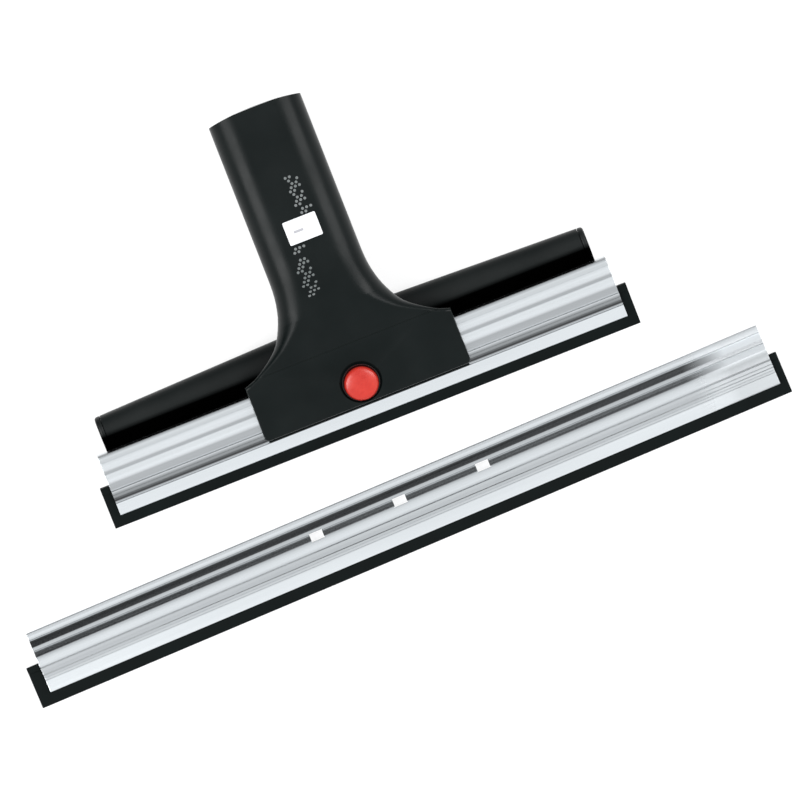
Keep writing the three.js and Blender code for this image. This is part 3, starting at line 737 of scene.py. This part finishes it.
# ---- button, label, seal and screws ----
def release_button():
    """The domed cap with its flange under the plate. Its foot is 0.3 mm shorter than the CAD's."""
    bm = bmesh.new()
    turns = [math.radians(angle) for angle in range(0, 90, 9)]
    dome = [(7.15 * math.cos(turn), 13.35 + 1.3 * math.sin(turn)) for turn in turns]
    foot_and_flange = [(0, 8.4), (3.4, 8.4), (3.4, 8.9), (9.3, 8.9), (9.3, 10.1)]
    skirt = [(7.9, 10.1), (7.85, 11.6), (7.72, 12.4), (7.5, 13.0)]
    lathe(bm, foot_and_flange + skirt + dome + [(0, 14.65)], 96)
    bmesh.ops.translate(bm, vec=(0, BUTTON_V, 0), verts=bm.verts)
    cap = piece("release_button_cap", bm, BLADE_PLACE, "button", ["release_button"], BUTTON_RED,
                sharp=40)

    def flange_flat(knife):
        block(knife, (-12, 10, 6), (12, 14.5, 12))

    cut(cap, BLADE_PLACE, flange_flat, 40)
    add_bevel(cap, 0.15, 2, 40)


def latch_leaf(word, side):
    """Half of the leaf spring. Its end stays with the head, and its middle follows LATCH_SHARE of
    the button's stroke. At full stroke the CAD has 0.2 mm too little room for the leaf above the
    rail. The share only keeps this piece out of the rail and doesn't mend that."""
    bm = bmesh.new()
    block(bm, (min(0, side * 43), 20.2, 7.3), (max(0, side * 43), 26.4, 7.8))
    for x in range(1, 24):
        everything = bm.verts[:] + bm.edges[:] + bm.faces[:]
        bmesh.ops.bisect_plane(bm, geom=everything, plane_co=(side * x, 0, 0), plane_no=(1, 0, 0))
    nib_x = side * LATCH_PITCH
    block(bm, (nib_x - 2.3, 21.8, 4), (nib_x + 2.3, 24.8, 7.4))
    leaf = piece(f"latch_leaf_{word}", bm, BLADE_PLACE, None, ["latch_spring"], ZINC)
    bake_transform(leaf, "head", "button", start=BLADE_PLACE @ Vector((side * LATCH_STILL_X, LATCH_ROW, 7.5)),
             end=BLADE_PLACE @ Vector((side * LATCH_PRESSED_X, LATCH_ROW, 7.5)))
    for share in leaf.data.attributes["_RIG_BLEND"].data:
        share.value *= LATCH_SHARE


def neck_label():
    top = plane_z(FLARE_END_Y, PLATE_FRONT)
    bm = bmesh.new()
    block(bm, (-6.9, 87.6, top - 0.35), (8.5, 98.4, top + 0.12))
    upright = [e for e in bm.edges if abs(e.verts[0].co.z - e.verts[1].co.z) > 0.1]
    bmesh.ops.bevel(bm, geom=upright, offset=0.6, offset_type="OFFSET", segments=5, profile=0.5,
                    affect="EDGES", material=-1)
    piece("neck_label", bm, HEAD, "head", ["badge_plate"], LABEL_WHITE, bevel=(0.08, 2))


# middle x, lowest y, highest y and half width of each patch of dots
DOT_PATCHES = ((5.3, 99.7, 101.3, 2.9), (4.0, 103.6, 116.4, 3.2), (-4.1, 84.1, 85.7, 2.9), (-4.9, 64.4, 80.6, 3.4))
DOT_ROW_GAP = 1.6
DOT_COLUMN_GAP = 1.95


def print_dots():
    """Patches of small printed dots above and below the label, and a plain line on it."""
    top = plane_z(FLARE_END_Y, PLATE_FRONT)
    bm = bmesh.new()
    for middle_x, low_y, high_y, half in DOT_PATCHES:
        for row in range(round((high_y - low_y) / DOT_ROW_GAP) + 1):
            for column in range(-2, 3):
                u = column * DOT_COLUMN_GAP + (0.97 if row % 2 else 0) - 0.3
                v = low_y + DOT_ROW_GAP * row
                if abs(u) > half or (row * 3 + column) % 4 == 1:
                    continue
                made = bmesh.ops.create_cone(bm, cap_ends=True, segments=12, radius1=0.66, radius2=0.6, depth=0.06)
                bmesh.ops.translate(bm, vec=(middle_x + u, v, front_z(v) + 0.03), verts=made["verts"])
    piece("neck_print_dots", bm, HEAD, "head", [], DOT_GREY)
    line = bmesh.new()
    block(line, (-3.4, 92.2, top + 0.1), (1.0, 93.3, top + 0.16))
    piece("label_print_line", line, HEAD, "head", [], LINE_GREY)


def socket_seal():
    bm = bmesh.new()
    profile = [
        (18.75, -1.4), (18.75, 1.4), (18.1, 1.4), (17.85, 1.1), (18.2, 0.5), (17.85, 0), (18.2, -0.5), (17.85, -1.1),
        (18.1, -1.4), (18.75, -1.4),
    ]
    lathe(bm, profile, 96)
    bmesh.ops.rotate(bm, cent=(0, 0, 0), matrix=Matrix.Rotation(math.pi / 2, 3, "X"), verts=bm.verts)
    bmesh.ops.translate(bm, vec=(0, 119.8, NECK_AXIS_Z), verts=bm.verts)
    piece("socket_seal_ring", bm, HEAD, "head", ["socket_seal"], SEAL_RUBBER)


def cross_screw(name, node, x, y, head_z, tip_z):
    """A pan-head screw driven up from below, with a cross recess and a turned thread."""
    bm = bmesh.new()
    profile = [
        (0, head_z), (1.9, head_z), (2.5, head_z + 0.25), (2.8, head_z + 0.8), (2.8, head_z + 2), (1.4, head_z + 2),
    ]
    for ridge in range(int((tip_z - head_z - 5) / 1.1)):
        z = head_z + 2.8 + ridge * 1.1
        profile += [(1.12, z), (1.42, z + 0.35), (1.12, z + 0.7)]
    profile += [(1.0, tip_z - 1.2), (0, tip_z)]
    lathe(bm, profile, 32)
    bmesh.ops.translate(bm, vec=(x, y, 0), verts=bm.verts)
    made = piece(name, bm, HEAD, "head", [node], ZINC, sharp=40)

    for across, along in ((1.6, 0.35), (0.35, 1.6)):
        def recess(knife):
            block(knife, (x - across, y - along, head_z - 1), (x + across, y + along, head_z + 1.1))

        cut(made, HEAD, recess, 40)


front_shell()
plate_walls()
rear_shell()
suction_bar()
bar_end_cap(-1, "left")
bar_end_cap(1, "right")
blade("small_blade", BLADE_PLACE, RAIL_METAL, 241.3, 125, 125)
blade("wide_blade", SPARE_PLACE, SPARE_METAL, 351.8, 181.9, 179.5)
release_button()
latch_leaf("left", -1)
latch_leaf("right", 1)
neck_label()
print_dots()
socket_seal()
for number, (x, y) in enumerate(SHELL_SCREWS, 1):
    cross_screw(f"shell_screw_{number}_zinc", f"shell_screw_{number}", x, y, 0.4, 29)
for word, (x, y) in zip(("left", "right"), BAR_SCREWS):
    cross_screw(f"bar_screw_{word}_zinc", f"bar_screw_{word}", x, y, 0.3, 27)

# the hidden pieces keep their CAD shape and get their finish
for name in ("guide_screw_left", "guide_screw_right", "latch_clip_left", "latch_clip_right",
             "latch_screw_left", "latch_screw_right"):
    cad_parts[name].data.materials.clear()
    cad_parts[name].data.materials.append(ZINC)
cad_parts["rail_guide"].data.materials.clear()
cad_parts["rail_guide"].data.materials.append(BAR_BLACK)


# ---- studio ----
def floor():
    bm = bmesh.new()
    bmesh.ops.create_grid(bm, x_segments=2, y_segments=2, size=6)
    mesh = bpy.data.meshes.new("studio_floor")
    bm.to_mesh(mesh)
    bm.free()
    mesh.materials.append(studio_floor())
    made = bpy.data.objects.new("studio_floor", mesh)
    made.location.z = -0.0004
    bpy.context.scene.collection.objects.link(made)


def softbox(name, place, aim, size, power):
    lamp = bpy.data.lights.new(name, "AREA")
    lamp.shape = "RECTANGLE"
    lamp.size, lamp.size_y = size
    lamp.energy = power
    made = bpy.data.objects.new(name, lamp)
    made.location = place
    made.rotation_euler = (Vector(aim) - Vector(place)).to_track_quat("-Z", "Y").to_euler()
    bpy.context.scene.collection.objects.link(made)


def studio_dome():
    """A white dome with one grey flag on the neck's side, as a product table has."""
    world = bpy.data.worlds.new("studio_dome")
    world.use_nodes = True
    nodes, links = world.node_tree.nodes, world.node_tree.links
    direction = nodes.new("ShaderNodeTexCoord").outputs["Generated"]
    split = nodes.new("ShaderNodeSeparateXYZ")
    links.new(direction, split.inputs["Vector"])

    def step(value, start, end, low, high):
        ramp = nodes.new("ShaderNodeMapRange")
        ramp.interpolation_type = "SMOOTHSTEP"
        for socket, number in zip(("From Min", "From Max", "To Min", "To Max"), (start, end, low, high)):
            ramp.inputs[socket].default_value = number
        links.new(value, ramp.inputs["Value"])
        return ramp.outputs["Result"]

    def times(a, b):
        maths = nodes.new("ShaderNodeMath")
        maths.operation = "MULTIPLY"
        links.new(a, maths.inputs[0])
        links.new(b, maths.inputs[1])
        return maths.outputs["Value"]

    flag = times(step(split.outputs["Y"], 0.36, 0.46, 0, 1), step(split.outputs["Y"], 0.76, 0.86, 1, 0))
    flag = times(flag, step(split.outputs["X"], 0.04, 0.07, 1, 0))
    dome = nodes.new("ShaderNodeMix")
    dome.data_type = "RGBA"
    dome.inputs["A"].default_value = (0.99, 1.0, 1.01, 1)
    dome.inputs["B"].default_value = (0.03, 0.032, 0.035, 1)
    links.new(flag, dome.inputs["Factor"])
    links.new(dome.outputs["Result"], nodes["Background"].inputs["Color"])
    nodes["Background"].inputs["Strength"].default_value = 1.0
    bpy.context.scene.world = world


def camera():
    lens = bpy.data.cameras.new("camera")
    lens.sensor_width = 36
    distance, width = 5.0, 0.3546
    lens.lens = lens.sensor_width * distance / width
    lens.clip_end = 20
    made = bpy.data.objects.new("camera", lens)
    centre = HEAD @ Vector((13.14, 6.95, 14))
    made.location = (centre.x, centre.y, centre.z + distance)
    made.rotation_euler = (0, 0, -math.radians(21.45))
    bpy.context.scene.collection.objects.link(made)
    bpy.context.scene.camera = made


floor()
softbox("softbox_left", (-1.25, -0.1, 1.45), (0, 0, 0.02), (0.8, 1.5), 34)
softbox("softbox_right", (1.3, 0.0, 1.45), (0, 0, 0.02), (0.8, 1.5), 26)
studio_dome()
camera()
bpy.context.scene.view_settings.view_transform = "Standard"
